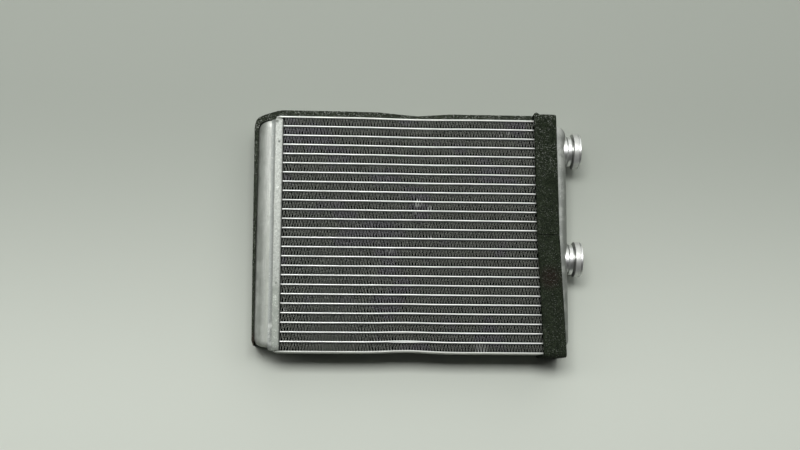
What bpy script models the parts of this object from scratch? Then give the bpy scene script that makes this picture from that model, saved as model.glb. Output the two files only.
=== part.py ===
"""Heater core of brazed aluminium, with flat tubes, folded fins, two tanks, two coolant stubs and foam seals.

X runs from the plain tank to the tank that carries the stubs, Y runs along the tanks, and Z is the way that
the air goes. The core lies on its back face, as on a bench. Lengths are in metres.
"""
import math

import bmesh
import bpy
from mathutils import Vector

# Flat tubes
TUBE_COUNT = 24
TUBE_THICK = 0.0014
TUBE_DEPTH = 0.0260
TUBE_WALL = 0.0003
TUBE_STAND = 0.0025
TUBE_NOSE_STEPS = 3

# Folded fins. The real strip has about 92 folds, and these solids keep the form with fewer.
FIN_HEIGHT = 0.0056
FIN_SPAN = 0.1951
FIN_DEPTH = 0.0250
FIN_SHEET = 0.00025
FIN_FOLDS = 16
FIN_END_GAP = 0.0007
FIN_BITE = 0.0001

# Side plates
SIDE_PLATE_THICK = 0.0014
SIDE_PLATE_LAP = 0.0053
SIDE_PLATE_EDGE = 0.0003

# Header plates
HEADER_SHEET = 0.0013
HEADER_RIM = 0.0060
HEADER_BEND = 0.0020
HEADER_CORNER = 0.0050
BEND_STEPS = 3
CORNER_STEPS = 4

# Tanks
TANK_WALL = 0.0013
TANK_REACH = 0.0125
TANK_END_ROUND = 0.0085
TANK_ARCH = 2.6
TANK_END_STEPS = 4
TANK_ARCH_STEPS = 6

# Partition between the inlet side and the outlet side
PARTITION_SHEET = 0.0015
PARTITION_ROW = 16

# Coolant stubs, turned, with a seat for an O-ring
STUB_UPPER_Y = 0.0670
STUB_LOWER_Y = -0.0164
STUB_BORE_RADIUS = 0.0085
STUB_SINK = 0.0046
NECK_RADIUS = 0.0115
NECK_LENGTH = 0.0037
NECK_EDGE = 0.0005
GROOVE_RADIUS = 0.0096
GROOVE_LENGTH = 0.0014
FLANGE_RADIUS = 0.0135
FLANGE_LENGTH = 0.0038
FLANGE_EDGE = 0.0007
LIP_RADIUS = 0.0131
LIP_LENGTH = 0.0011
LIP_NECK_RADIUS = 0.0125
LIP_NECK_LENGTH = 0.0006
SEAT_RADIUS = 0.0105
SEAT_DEPTH = 0.0030
STUB_SIDES = 24

# Foam strip along the plain tank and the upper side plate
EDGE_FOAM_WIDTH = 0.0300
EDGE_FOAM_SIDE = 0.0032
EDGE_FOAM_FOOT = 0.0015
EDGE_FOAM_FOOT_Y = -0.0835
EDGE_FOAM_BEND = 0.0180
EDGE_FOAM_TOP = 0.0048
EDGE_FOAM_DIP = 0.0021
EDGE_FOAM_DIP_AT = 0.0034
EDGE_FOAM_DIP_REACH = 0.0200
EDGE_FOAM_SQUASHED = 0.0028
EDGE_FOAM_TUCK = 0.0065
EDGE_FOAM_STEPS = 12

# Foam collar round the tank with the stubs, in two lengths that meet at a seam
COLLAR_THICK = 0.0026
COLLAR_WIDTH = 0.0169
COLLAR_OVER_HEADER = 0.0022
COLLAR_SKEW = 0.0353
COLLAR_BEND = 0.0040
COLLAR_SEAM_Y = 0.0006
COLLAR_BEND_STEPS = 4

# Clearances
BRAZE_GAP = 0.0002
TUBE_CLEAR = 0.0003
FOAM_GAP = 0.0003

# Places that follow from the sizes above
PITCH = TUBE_THICK + FIN_HEIGHT
PLATE_INNER_Y = (TUBE_COUNT + 1) * PITCH / 2 - TUBE_THICK / 2
PLATE_OUTER_Y = PLATE_INNER_Y + SIDE_PLATE_THICK
HEADER_FACE_X = FIN_SPAN / 2 + FIN_END_GAP
HEADER_END_Y = PLATE_INNER_Y - BRAZE_GAP
TANK_HALF_DEPTH = TUBE_DEPTH / 2 + TUBE_CLEAR + TANK_WALL
HEADER_HALF_DEPTH = TANK_HALF_DEPTH + BRAZE_GAP + HEADER_SHEET
RIM_END_X = HEADER_FACE_X + HEADER_RIM
TANK_MOUTH_X = HEADER_FACE_X + max(HEADER_BEND, HEADER_SHEET + BRAZE_GAP)
TANK_SIDE_X = RIM_END_X + TANK_REACH
TANK_END_Y = HEADER_END_Y - HEADER_SHEET - BRAZE_GAP
TANK_CORNER = HEADER_CORNER - HEADER_SHEET - BRAZE_GAP
PLATE_END_X = HEADER_FACE_X + SIDE_PLATE_LAP
STUB_LENGTH = NECK_LENGTH + GROOVE_LENGTH + FLANGE_LENGTH + LIP_NECK_LENGTH + LIP_LENGTH
STUB_TIP_X = TANK_SIDE_X + STUB_LENGTH
COLLAR_INNER_Z = HEADER_HALF_DEPTH + FOAM_GAP
COLLAR_OUTER_Z = COLLAR_INNER_Z + COLLAR_THICK
COLLAR_MIDDLE_X = HEADER_FACE_X + COLLAR_OVER_HEADER
COLLAR_END_Y = PLATE_OUTER_Y + FOAM_GAP
COLLAR_LIFT = EDGE_FOAM_SQUASHED + FOAM_GAP
EDGE_FOAM_OUTER_X = TANK_SIDE_X + FOAM_GAP + EDGE_FOAM_SIDE
HIGHEST_Y = COLLAR_END_Y + COLLAR_THICK + max(COLLAR_LIFT, EDGE_FOAM_TOP - COLLAR_THICK)
LOWEST_Y = -COLLAR_END_Y - COLLAR_THICK


def clear_scene():
    for old in list(bpy.data.objects):
        bpy.data.objects.remove(old, do_unlink=True)


def finish(name, colour, metallic, roughness):
    """A plain material with one colour, for one kind of piece."""
    material = bpy.data.materials.new(name)
    material.use_nodes = True
    shader = material.node_tree.nodes["Principled BSDF"]
    shader.inputs["Base Color"].default_value = (*colour, 1.0)
    shader.inputs["Metallic"].default_value = metallic
    shader.inputs["Roughness"].default_value = roughness
    material.diffuse_color = (*colour, 1.0)
    return material


def new_mesh(name, rings, cap_ends=True, closed=True):
    """A mesh lofted through rings of points, each ring with the same number of points."""
    bm = bmesh.new()
    loops = [[bm.verts.new(point) for point in ring] for ring in rings]
    count = len(loops[0])
    last = count if closed else count - 1
    for near, far in zip(loops, loops[1:]):
        for i in range(last):
            j = (i + 1) % count
            bm.faces.new((near[i], near[j], far[j], far[i]))
    if cap_ends:
        bm.faces.new(loops[0])
        bm.faces.new(loops[-1])
    bmesh.ops.recalc_face_normals(bm, faces=bm.faces)
    mesh = bpy.data.meshes.new(name)
    bm.to_mesh(mesh)
    bm.free()
    return mesh


def prism(name, outline, axis, start, stop):
    """A solid with a flat outline, drawn out along one axis from start to stop."""
    rings = []
    for place in (start, stop):
        ring = []
        for a, b in outline:
            point = [a, b]
            point.insert(axis, place)
            ring.append(Vector(point))
        rings.append(ring)
    return new_mesh(name, rings)


def joined(name, meshes):
    """One mesh that holds several closed shapes, for a cutter."""
    bm = bmesh.new()
    for mesh in meshes:
        bm.from_mesh(mesh)
    result = bpy.data.meshes.new(name)
    bm.to_mesh(result)
    bm.free()
    return result


def place(name, mesh, material, parent, location=(0, 0, 0), turned=False):
    """An object in its place. Turned pieces face the plain tank's way."""
    mesh.materials.clear()
    mesh.materials.append(material)
    obj = bpy.data.objects.new(name, mesh)
    obj.location = location
    obj.rotation_euler = (0, 0, math.pi if turned else 0)
    obj.parent = parent
    bpy.context.scene.collection.objects.link(obj)
    return obj


def as_cutter(obj):
    obj.hide_render = True
    obj.display_type = "WIRE"


def boolean(obj, name, operation, other):
    modifier = obj.modifiers.new(name, "BOOLEAN")
    modifier.operation = operation
    modifier.solver = "EXACT"
    modifier.object = other


def sheet(obj, thickness):
    """Gives an open surface the thickness of its metal, on the inner side."""
    modifier = obj.modifiers.new("metal", "SOLIDIFY")
    modifier.thickness = thickness
    modifier.offset = -1
    modifier.use_even_offset = True


def arc(centre, radius, start, stop, steps):
    """Points on an arc, with its angles in degrees."""
    points = []
    for i in range(steps + 1):
        angle = math.radians(start + (stop - start) * i / steps)
        points.append((centre[0] + radius * math.cos(angle), centre[1] + radius * math.sin(angle)))
    return points


def rounded_rectangle(half_a, half_b, radius, steps):
    points = []
    for sign_a, sign_b, start in ((1, 1, 0), (-1, 1, 90), (-1, -1, 180), (1, -1, 270)):
        centre = (sign_a * (half_a - radius), sign_b * (half_b - radius))
        points += arc(centre, radius, start, start + 90, steps)
    return points


def flat_oval(thick, depth):
    """The section of a flat tube in Y and Z, with round noses."""
    radius = thick / 2
    straight = depth / 2 - radius
    return arc((0, straight), radius, 0, 180, TUBE_NOSE_STEPS) + arc((0, -straight), radius, 180, 360, TUBE_NOSE_STEPS)


def row_y(row):
    """The middle of a row of fins, counted from the lower side plate."""
    return (row - TUBE_COUNT / 2) * PITCH


def tube_y(index):
    return (index - (TUBE_COUNT - 1) / 2) * PITCH


def tube_mesh():
    """A tube open at both ends, with its wall left between two ovals."""
    half = HEADER_FACE_X + HEADER_SHEET + TUBE_STAND
    outer = flat_oval(TUBE_THICK, TUBE_DEPTH)
    inner = flat_oval(TUBE_THICK - 2 * TUBE_WALL, TUBE_DEPTH - 2 * TUBE_WALL)
    bm = bmesh.new()
    loops = []
    for x, oval in ((-half, outer), (half, outer), (half, inner), (-half, inner)):
        loops.append([bm.verts.new((x, y, z)) for y, z in oval])
    for near, far in zip(loops, loops[1:] + loops[:1]):
        for i in range(len(outer)):
            j = (i + 1) % len(outer)
            bm.faces.new((near[i], near[j], far[j], far[i]))
    bmesh.ops.recalc_face_normals(bm, faces=bm.faces)
    mesh = bpy.data.meshes.new("tube")
    bm.to_mesh(mesh)
    bm.free()
    return mesh


def slot_cutter_mesh():
    """Bars that follow the tubes with their brazing clearance, long enough to cut both header plates."""
    half = HEADER_FACE_X + HEADER_RIM
    grown = flat_oval(TUBE_THICK + 2 * BRAZE_GAP, TUBE_DEPTH + 2 * BRAZE_GAP)
    bars = []
    for index in range(TUBE_COUNT):
        outline = [(y + tube_y(index), z) for y, z in grown]
        bars.append(prism("bar", outline, 0, -half, half))
    return joined("slot_cutter", bars)


def fin_mesh():
    """A strip folded to and fro between two tubes. Its crests stop short of the tubes by the brazing gap."""
    half_fold = FIN_SPAN / FIN_FOLDS / 2
    height = FIN_HEIGHT - 2 * BRAZE_GAP
    upright = FIN_SHEET * math.hypot(half_fold, height) / half_fold
    swing = (height - upright) / 2
    rings = []
    for i in range(2 * FIN_FOLDS + 1):
        x = -FIN_SPAN / 2 + i * half_fold
        y = swing if i % 2 else -swing
        section = strip_corners(y, upright)
        rings.append([Vector((x, a, b)) for a, b in section])
    return new_mesh("fin", rings)


def strip_corners(y, upright):
    """The four corners of the strip where it is cut across."""
    low = y - upright / 2
    high = y + upright / 2
    return ((low, -FIN_DEPTH / 2), (high, -FIN_DEPTH / 2), (high, FIN_DEPTH / 2), (low, FIN_DEPTH / 2))


def side_plate_mesh():
    outline = rounded_rectangle(SIDE_PLATE_THICK / 2, TUBE_DEPTH / 2, SIDE_PLATE_EDGE, 1)
    return prism("side_plate", outline, 0, -PLATE_END_X, PLATE_END_X)


def header_mesh():
    """The pressed cup in outer form: a flat face to the fins, a bend, and a rim that takes the tank."""
    rings = []
    stations = []
    for i in range(BEND_STEPS + 1):
        angle = math.pi / 2 * i / BEND_STEPS
        stations.append((HEADER_BEND * (1 - math.cos(angle)), HEADER_BEND * (1 - math.sin(angle))))
    stations.append((HEADER_RIM, 0.0))
    for x, inset in stations:
        outline = rounded_rectangle(
            HEADER_END_Y - inset, HEADER_HALF_DEPTH - inset, HEADER_CORNER - inset, CORNER_STEPS
        )
        rings.append([Vector((x, y, z)) for y, z in outline])
    mesh = new_mesh("header_plate", rings, cap_ends=False)
    bm = bmesh.new()
    bm.from_mesh(mesh)
    bm.verts.ensure_lookup_table()
    bm.faces.new([bm.verts[i] for i in range(len(rings[0]))])
    bmesh.ops.recalc_face_normals(bm, faces=bm.faces)
    face_outwards(bm, Vector((HEADER_RIM / 2, 0, 0)))
    bm.to_mesh(mesh)
    bm.free()
    return mesh


def face_outwards(bm, inside):
    """Turns an open shell so that its faces look away from a point inside it."""
    facing = sum((face.calc_center_median() - inside).dot(face.normal) * face.calc_area() for face in bm.faces)
    if facing < 0:
        bmesh.ops.reverse_faces(bm, faces=bm.faces)


def tank_section(depth, half):
    """Half of a D in X and Z: a straight skirt inside the rim, then an arch to the outer side."""
    skirt = RIM_END_X - TANK_MOUTH_X
    points = [(0.0, half)]
    for i in range(2 * TANK_ARCH_STEPS + 1):
        angle = math.pi * i / (2 * TANK_ARCH_STEPS)
        across = math.cos(angle)
        z = math.copysign(abs(across) ** (2 / TANK_ARCH), across) * half
        x = skirt + (depth - skirt) * math.sin(angle) ** (2 / TANK_ARCH)
        points.append((x, z))
    points.append((0.0, -half))
    return points


def tank_stations():
    """(y, depth, half thickness) from the lower end to the upper end, as the ends round off."""
    full = TANK_SIDE_X - TANK_MOUTH_X
    upper = []
    for i in range(TANK_END_STEPS + 1):
        angle = math.pi / 2 * i / TANK_END_STEPS
        y = TANK_END_Y - TANK_END_ROUND * (1 - math.sin(angle))
        depth = full - TANK_END_ROUND * (1 - math.cos(angle))
        past = min(TANK_CORNER, max(0.0, y - (TANK_END_Y - TANK_CORNER)))
        half = TANK_HALF_DEPTH - TANK_CORNER + math.sqrt(TANK_CORNER**2 - past**2)
        upper.append((y, depth, half))
    return [(-y, depth, half) for y, depth, half in reversed(upper)] + upper


def tank_mesh(name):
    """The pressed tank in outer form, open towards the header plate."""
    rings = []
    for y, depth, half in tank_stations():
        rings.append([Vector((x, y, z)) for x, z in tank_section(depth, half)])
    mesh = new_mesh(name, rings, closed=False)
    bm = bmesh.new()
    bm.from_mesh(mesh)
    face_outwards(bm, Vector(((TANK_SIDE_X - TANK_MOUTH_X) / 2, 0, 0)))
    bm.to_mesh(mesh)
    bm.free()
    return mesh


def inset(outline, distance):
    """An open outline moved inwards, to its right, with mitred corners."""
    points = [Vector(point) for point in outline]
    moved = []
    for i, point in enumerate(points):
        sides = []
        for a, b in ((i - 1, i), (i, i + 1)):
            if 0 <= a and b < len(points):
                along = (points[b] - points[a]).normalized()
                sides.append(Vector((along.y, -along.x)))
        middle = sum(sides, Vector((0, 0))).normalized()
        moved.append(point + middle * (distance / middle.dot(sides[0])))
    return moved


def partition_mesh():
    """A plate with the tank's inner section, which parts the two streams."""
    section = tank_section(TANK_SIDE_X - TANK_MOUTH_X, TANK_HALF_DEPTH)
    outline = inset(section, TANK_WALL + BRAZE_GAP)
    rings = []
    for y in (-PARTITION_SHEET / 2, PARTITION_SHEET / 2):
        rings.append([Vector((x, y, z)) for x, z in outline])
    return new_mesh("partition", rings)


def stub_outline():
    """(x, radius) round one side of the stub's wall, from its root in the tank and back through the bore."""
    groove = NECK_LENGTH + GROOVE_LENGTH
    flange = groove + FLANGE_LENGTH
    lip = flange + LIP_NECK_LENGTH
    soft = FLANGE_EDGE / 3
    return [
        (-STUB_SINK, NECK_RADIUS),
        (NECK_LENGTH - NECK_EDGE, NECK_RADIUS),
        (NECK_LENGTH, NECK_RADIUS - NECK_EDGE),
        (NECK_LENGTH, GROOVE_RADIUS),
        (groove, GROOVE_RADIUS),
        (groove, FLANGE_RADIUS - FLANGE_EDGE),
        (groove + soft, FLANGE_RADIUS - soft),
        (groove + FLANGE_EDGE, FLANGE_RADIUS),
        (flange - FLANGE_EDGE, FLANGE_RADIUS),
        (flange - soft, FLANGE_RADIUS - soft),
        (flange, LIP_NECK_RADIUS),
        (lip, LIP_NECK_RADIUS),
        (lip, LIP_RADIUS),
        (STUB_LENGTH, LIP_RADIUS),
        (STUB_LENGTH, SEAT_RADIUS),
        (STUB_LENGTH - SEAT_DEPTH, SEAT_RADIUS),
        (STUB_LENGTH - SEAT_DEPTH, STUB_BORE_RADIUS),
        (-STUB_SINK, STUB_BORE_RADIUS),
    ]


def stub_mesh():
    """The stub's wall turned about its axis, which is X."""
    bm = bmesh.new()
    corners = [bm.verts.new((x, radius, 0)) for x, radius in stub_outline()]
    edges = [bm.edges.new((a, b)) for a, b in zip(corners, corners[1:] + corners[:1])]
    bmesh.ops.spin(
        bm, geom=corners + edges, cent=(0, 0, 0), axis=(1, 0, 0), angle=2 * math.pi, steps=STUB_SIDES, use_merge=True
    )
    bmesh.ops.recalc_face_normals(bm, faces=bm.faces)
    mesh = bpy.data.meshes.new("stub")
    bm.to_mesh(mesh)
    bm.free()
    mesh.shade_smooth()
    mesh.set_sharp_from_angle(angle=math.radians(30))
    return mesh


def stub_cutter_mesh():
    """The two holes in the tank's outer side, each a stub's neck with its brazing clearance."""
    holes = []
    for y in (STUB_UPPER_Y, STUB_LOWER_Y):
        circle = arc((y, 0), NECK_RADIUS + BRAZE_GAP, 0, 360, STUB_SIDES)[:-1]
        holes.append(prism("hole", circle, 0, TANK_MOUTH_X, STUB_TIP_X))
    return joined("stub_cutter", holes)


def ease(value):
    """A smooth step from 0 to 1."""
    value = min(1.0, max(0.0, value))
    return value * value * (3 - 2 * value)


def edge_foam_top(x, collar_x):
    """How thick the foam strip is above the side plate: thin at a dip, and squashed under the collar."""
    dip = 1 - ease(abs(x - EDGE_FOAM_DIP_AT) / EDGE_FOAM_DIP_REACH)
    thick = EDGE_FOAM_TOP - (EDGE_FOAM_TOP - EDGE_FOAM_DIP) * dip
    squash = ease((x - collar_x) / EDGE_FOAM_TUCK + 1)
    return thick + (EDGE_FOAM_SQUASHED - thick) * squash


def tongue_x():
    """Where the foam strip goes in under the collar, and gets narrower."""
    return collar_edge_x(-1, HIGHEST_Y) - FOAM_GAP


def edge_foam_mesh():
    """The strip's outline in X and Y, round the plain tank and along the side plate, drawn out in Z."""
    gap = FOAM_GAP
    base_y = PLATE_OUTER_Y + gap
    collar_x = tongue_x()
    end_x = collar_x + EDGE_FOAM_TUCK
    inner = [(-TANK_SIDE_X - gap, EDGE_FOAM_FOOT_Y)]
    turn = (TANK_END_ROUND - TANK_SIDE_X, TANK_END_Y - TANK_END_ROUND)
    inner += arc(turn, TANK_END_ROUND + gap, 180, 90, CORNER_STEPS)
    inner += [
        (-RIM_END_X - gap, TANK_END_Y + gap),
        (-RIM_END_X - gap, HEADER_END_Y + gap),
        (-PLATE_END_X - gap, HEADER_END_Y + gap),
        (-PLATE_END_X - gap, base_y),
        (end_x, base_y),
    ]
    bend = (EDGE_FOAM_BEND - EDGE_FOAM_OUTER_X, base_y + EDGE_FOAM_TOP - EDGE_FOAM_BEND)
    outer = [(-TANK_SIDE_X - gap - EDGE_FOAM_FOOT, EDGE_FOAM_FOOT_Y)]
    outer += arc(bend, EDGE_FOAM_BEND, 180, 90, 2 * CORNER_STEPS)
    dip_from = EDGE_FOAM_DIP_AT - EDGE_FOAM_DIP_REACH
    for i in range(EDGE_FOAM_STEPS + 1):
        x = dip_from + 2 * EDGE_FOAM_DIP_REACH * i / EDGE_FOAM_STEPS
        outer.append((x, base_y + edge_foam_top(x, collar_x)))
    for i in range(CORNER_STEPS + 1):
        x = collar_x - EDGE_FOAM_TUCK * (1 - i / CORNER_STEPS)
        outer.append((x, base_y + edge_foam_top(x, collar_x)))
    outer.append((end_x, base_y + EDGE_FOAM_SQUASHED))
    outline = inner + outer[::-1]
    return prism("edge_foam", outline, 2, -COLLAR_OUTER_Z, EDGE_FOAM_WIDTH - COLLAR_OUTER_Z)


def tongue_cutter_mesh():
    """What the strip loses at its back where the collar bends in behind it."""
    near_x = tongue_x()
    far_x = near_x + 2 * EDGE_FOAM_TUCK
    outline = [(near_x, 0), (far_x, 0), (far_x, 2 * HIGHEST_Y), (near_x, 2 * HIGHEST_Y)]
    return prism("tongue_cutter", outline, 2, -2 * COLLAR_OUTER_Z, COLLAR_BEND - COLLAR_INNER_Z)


def collar_edge_x(side, y):
    """X of the collar's edge at y, as it was stuck on a little askew. side is -1 towards the fins."""
    return COLLAR_MIDDLE_X + side * COLLAR_WIDTH / 2 - COLLAR_SKEW * y


def collar_section(end_y, seam_y):
    """A C in Y and Z that wraps the end of the tank, from the seam in front to the seam behind."""
    steps = COLLAR_BEND_STEPS
    outer_bend = COLLAR_BEND + COLLAR_THICK
    inner_y = end_y - COLLAR_BEND
    inner_z = COLLAR_INNER_Z - COLLAR_BEND
    outer = arc((inner_y, inner_z), outer_bend, 90, 0, steps) + arc((inner_y, -inner_z), outer_bend, 0, -90, steps)
    inner = arc((inner_y, -inner_z), COLLAR_BEND, -90, 0, steps) + arc((inner_y, inner_z), COLLAR_BEND, 0, 90, steps)
    section = [(seam_y, COLLAR_OUTER_Z)] + outer + [(seam_y, -COLLAR_OUTER_Z)]
    section += [(seam_y, -COLLAR_INNER_Z)] + inner + [(seam_y, COLLAR_INNER_Z)]
    return section


def collar_mesh(name, side, lift):
    """One length of the collar. side is 1 for the upper one, and lift is the foam strip under its inner edge."""
    seam_y = side * COLLAR_SEAM_Y + FOAM_GAP / 2
    stations = [(0.0, lift)]
    if lift:
        stations += [(EDGE_FOAM_TUCK + FOAM_GAP, lift), (EDGE_FOAM_TUCK + 2 * lift, 0.0)]
    stations.append((COLLAR_WIDTH, 0.0))
    rings = []
    for along, rise in stations:
        ring = []
        for y, z in collar_section(COLLAR_END_Y + rise, seam_y):
            ring.append(Vector((collar_edge_x(-1, side * y) + along, side * y, z)))
        rings.append(ring)
    return new_mesh(name, rings)


def main():
    clear_scene()
    tube_metal = finish("tube_aluminium", (0.78, 0.79, 0.78), 0.9, 0.35)
    fin_metal = finish("fin_aluminium", (0.42, 0.43, 0.42), 0.8, 0.5)
    plate_metal = finish("plate_aluminium", (0.72, 0.74, 0.71), 0.85, 0.45)
    tank_metal = finish("tank_aluminium", (0.62, 0.65, 0.61), 0.85, 0.45)
    stub_metal = finish("turned_aluminium", (0.80, 0.82, 0.80), 0.95, 0.25)
    foam = finish("black_foam", (0.035, 0.040, 0.035), 0.0, 0.95)

    axes = bpy.data.objects.new("core_axes", None)
    axes.location = (
        (EDGE_FOAM_OUTER_X - STUB_TIP_X) / 2,
        -(HIGHEST_Y + LOWEST_Y) / 2,
        COLLAR_OUTER_Z,
    )
    bpy.context.scene.collection.objects.link(axes)

    tube = tube_mesh()
    for index in range(TUBE_COUNT):
        place(f"tube_{index + 1:02d}", tube, tube_metal, axes, (0, tube_y(index), 0))

    fin = fin_mesh()
    for row in range(1, TUBE_COUNT):
        place(f"fin_{row + 1:02d}", fin, fin_metal, axes, (0, row_y(row), 0))

    plate = side_plate_mesh()
    for name, side, row in (("lower", -1, 0), ("upper", 1, TUBE_COUNT)):
        middle = side * (PLATE_INNER_Y + SIDE_PLATE_THICK / 2)
        side_plate = place(f"side_plate_{name}", plate, plate_metal, axes, (0, middle, 0))
        end_fin_y = row_y(row) + side * (BRAZE_GAP + FIN_BITE)
        end_fin = place(f"end_fin_{name}", fin, fin_metal, axes, (0, end_fin_y, 0), turned=side > 0)
        as_cutter(end_fin)
        boolean(side_plate, "brazed_end_fin", "UNION", end_fin)

    slots = place("slot_cutter", slot_cutter_mesh(), plate_metal, axes)
    as_cutter(slots)
    header = header_mesh()
    for name, side in (("left", -1), ("right", 1)):
        header_plate = place(
            f"header_plate_{name}", header, plate_metal, axes, (side * HEADER_FACE_X, 0, 0), turned=side < 0
        )
        sheet(header_plate, HEADER_SHEET)
        boolean(header_plate, "tube_slots", "DIFFERENCE", slots)

    for name, side in (("left", -1), ("right", 1)):
        tank = place(
            f"tank_{name}", tank_mesh(f"tank_{name}"), tank_metal, axes, (side * TANK_MOUTH_X, 0, 0), turned=side < 0
        )
        sheet(tank, TANK_WALL)
        if side > 0:
            holes = place("stub_cutter", stub_cutter_mesh(), tank_metal, axes)
            as_cutter(holes)
            boolean(tank, "stub_holes", "DIFFERENCE", holes)

    place("partition_plate", partition_mesh(), plate_metal, axes, (TANK_MOUTH_X, row_y(PARTITION_ROW), 0))

    stub = stub_mesh()
    for name, y in (("upper", STUB_UPPER_Y), ("lower", STUB_LOWER_Y)):
        place(f"stub_{name}", stub, stub_metal, axes, (TANK_SIDE_X, y, 0))

    edge_strip = place("foam_edge_strip", edge_foam_mesh(), foam, axes)
    tongue = place("tongue_cutter", tongue_cutter_mesh(), foam, axes)
    as_cutter(tongue)
    boolean(edge_strip, "tongue", "DIFFERENCE", tongue)
    place("foam_collar_upper", collar_mesh("foam_collar_upper", 1, COLLAR_LIFT), foam, axes)
    place("foam_collar_lower", collar_mesh("foam_collar_lower", -1, 0.0), foam, axes)


main()
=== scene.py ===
# %% [markdown]
# # A heater core, dressed for its photograph
#
# The core is the small radiator of a car's cabin heater. Hot coolant enters one stub, runs through half of
# the flat tubes, turns round in the far tank and leaves by the other stub, while air passes between the
# folded fins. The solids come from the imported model. This lesson swaps the plain ones for detailed meshes,
# gives every surface a procedural finish, and sets up the floor, the light and the camera.

# %% Load the frame
import math

import bmesh
import bpy
import numpy as np
from mathutils import Matrix, Vector, noise


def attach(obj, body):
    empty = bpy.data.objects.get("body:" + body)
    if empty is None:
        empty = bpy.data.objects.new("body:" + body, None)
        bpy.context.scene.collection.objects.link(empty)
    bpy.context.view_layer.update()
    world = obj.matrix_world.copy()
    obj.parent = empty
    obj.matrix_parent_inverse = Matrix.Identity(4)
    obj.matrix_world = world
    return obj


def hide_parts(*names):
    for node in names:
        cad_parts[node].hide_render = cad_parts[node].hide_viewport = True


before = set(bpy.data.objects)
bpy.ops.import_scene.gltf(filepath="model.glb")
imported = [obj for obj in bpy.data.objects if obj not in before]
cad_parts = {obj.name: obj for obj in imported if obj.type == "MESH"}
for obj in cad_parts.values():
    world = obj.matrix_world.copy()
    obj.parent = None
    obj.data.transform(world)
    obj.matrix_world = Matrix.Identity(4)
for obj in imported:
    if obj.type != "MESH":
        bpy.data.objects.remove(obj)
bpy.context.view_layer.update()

# %% [markdown]
# ## Measures
#
# Everything is drawn in millimetres from the middle of the core, since that is how such a core is drawn on
# paper: X along the tubes, Y across them, Z out of the front. The frame has its origin on the bench
# instead, so one offset takes the points there. The measures repeat those of the solids, so that each
# piece lands on the node that it stands for.

# %% Measures of the core, in millimetres
MIDDLE = np.array((-3.55, -1.55, 19.0))
TUBES = 24
PITCH = 7.0
TUBE_THICK = 1.4
TUBE_DEPTH = 26.0
TUBE_WALL = 0.3
TUBE_END = 102.05
PLATE_MIDDLE = 87.5
PLATE_THICK = 1.4
PLATE_END = 103.5
HEADER_FACE = 98.25
HEADER_HALF = (86.6, 16.1)
HEADER_CORNER = 5.0
RIM_END = 104.25
TANK_MOUTH = 100.25
TANK_SIDE = 116.75
TANK_HALF = (85.1, 14.6)
STUB_PLACES = {"upper": 67.0, "lower": -16.4}
print("tube pitch", PITCH, "mm,", TUBES, "tubes")

# %% [markdown]
# ## Making a mesh piece
#
# Most parts of a core are sections drawn along a line: tubes, rims, tanks, foam. So one helper skins a run
# of rings with quads, and another turns the points into an object that rides with the frame and replaces
# its solids. NumPy does the arithmetic, which keeps 25 rows of fine fins quick to build.

# %% Skin a run of rings, and place a piece


def skin(rings, close_run=False, caps=False):
    """Points and quads between rings that have the same number of points each."""
    rings = np.asarray(rings, float)
    runs, count = rings.shape[:2]
    i = np.arange(runs if close_run else runs - 1)[:, None]
    j = np.arange(count)[None, :]
    here, ahead, after_j = i * count, (i + 1) % runs * count, (j + 1) % count
    faces = np.stack([here + j, here + after_j, ahead + after_j, ahead + j], -1).reshape(-1, 4).tolist()
    if caps:
        faces.append(list(range(count)))
        faces.append(list(range((runs - 1) * count, runs * count)))
    return rings.reshape(-1, 3), faces


def make_piece(name, shape, finish, nodes=(), crease=40):
    """An object from points in core millimetres, smooth but for edges sharper than the crease."""
    points, faces = shape
    mesh = bpy.data.meshes.new(name)
    mesh.from_pydata(((np.asarray(points) + MIDDLE) / 1000).tolist(), [], faces)
    shell = bmesh.new()
    shell.from_mesh(mesh)
    bmesh.ops.recalc_face_normals(shell, faces=shell.faces)
    shell.to_mesh(mesh)
    shell.free()
    mesh.shade_smooth()
    mesh.set_sharp_from_angle(angle=math.radians(crease))
    mesh.materials.append(finish.material)
    piece = bpy.data.objects.new(name, mesh)
    bpy.context.scene.collection.objects.link(piece)
    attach(piece, "root")
    if nodes:
        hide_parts(*nodes)


def arc(middle, radius, start, stop, steps):
    """Points on an arc, with its angles in degrees, in so many steps."""
    angles = np.radians(np.linspace(start, stop, steps + 1))
    return np.stack([middle[0] + radius * np.cos(angles), middle[1] + radius * np.sin(angles)], -1)


def eased_step(value):
    """0 below 0, 1 above 1, and an S curve between."""
    value = np.clip(value, 0, 1)
    return value * value * (3 - 2 * value)


def ripple(points, size, seed):
    """Smooth noise from about -1 to 1 at each point, with lumps about size millimetres across."""
    shift = Vector((seed, 2.7 * seed, -seed))
    return np.array([noise.noise(Vector(point) / size + shift) for point in points])


print("helpers ready; the middle of the core is at", tuple(MIDDLE.tolist()))

# %% [markdown]
# ## Shader maths
#
# A finish is a tree of nodes, but a sum reads better as a sum. `Wire` wraps one output socket, and
# arithmetic on it adds Math nodes. `Net` holds a tree and makes any node in it. `Finish` is the net of one
# material, with a few short methods for what metal and foam need: noise in millimetres, a soft step along
# an axis, a blend of two colours, and `paint`, which lays one more colour over those so far.

# %% Wires and nets


class Wire:
    """The output of a node, on which + - * add Math nodes."""

    def __init__(self, net, socket):
        self.net = net
        self.socket = socket

    def __add__(self, other):
        return self.net.maths("ADD", self, other)

    def __radd__(self, other):
        return self.net.maths("ADD", other, self)

    def __sub__(self, other):
        return self.net.maths("SUBTRACT", self, other)

    def __rsub__(self, other):
        return self.net.maths("SUBTRACT", other, self)

    def __mul__(self, other):
        return self.net.maths("MULTIPLY", self, other)

    def __rmul__(self, other):
        return self.net.maths("MULTIPLY", other, self)


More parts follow.
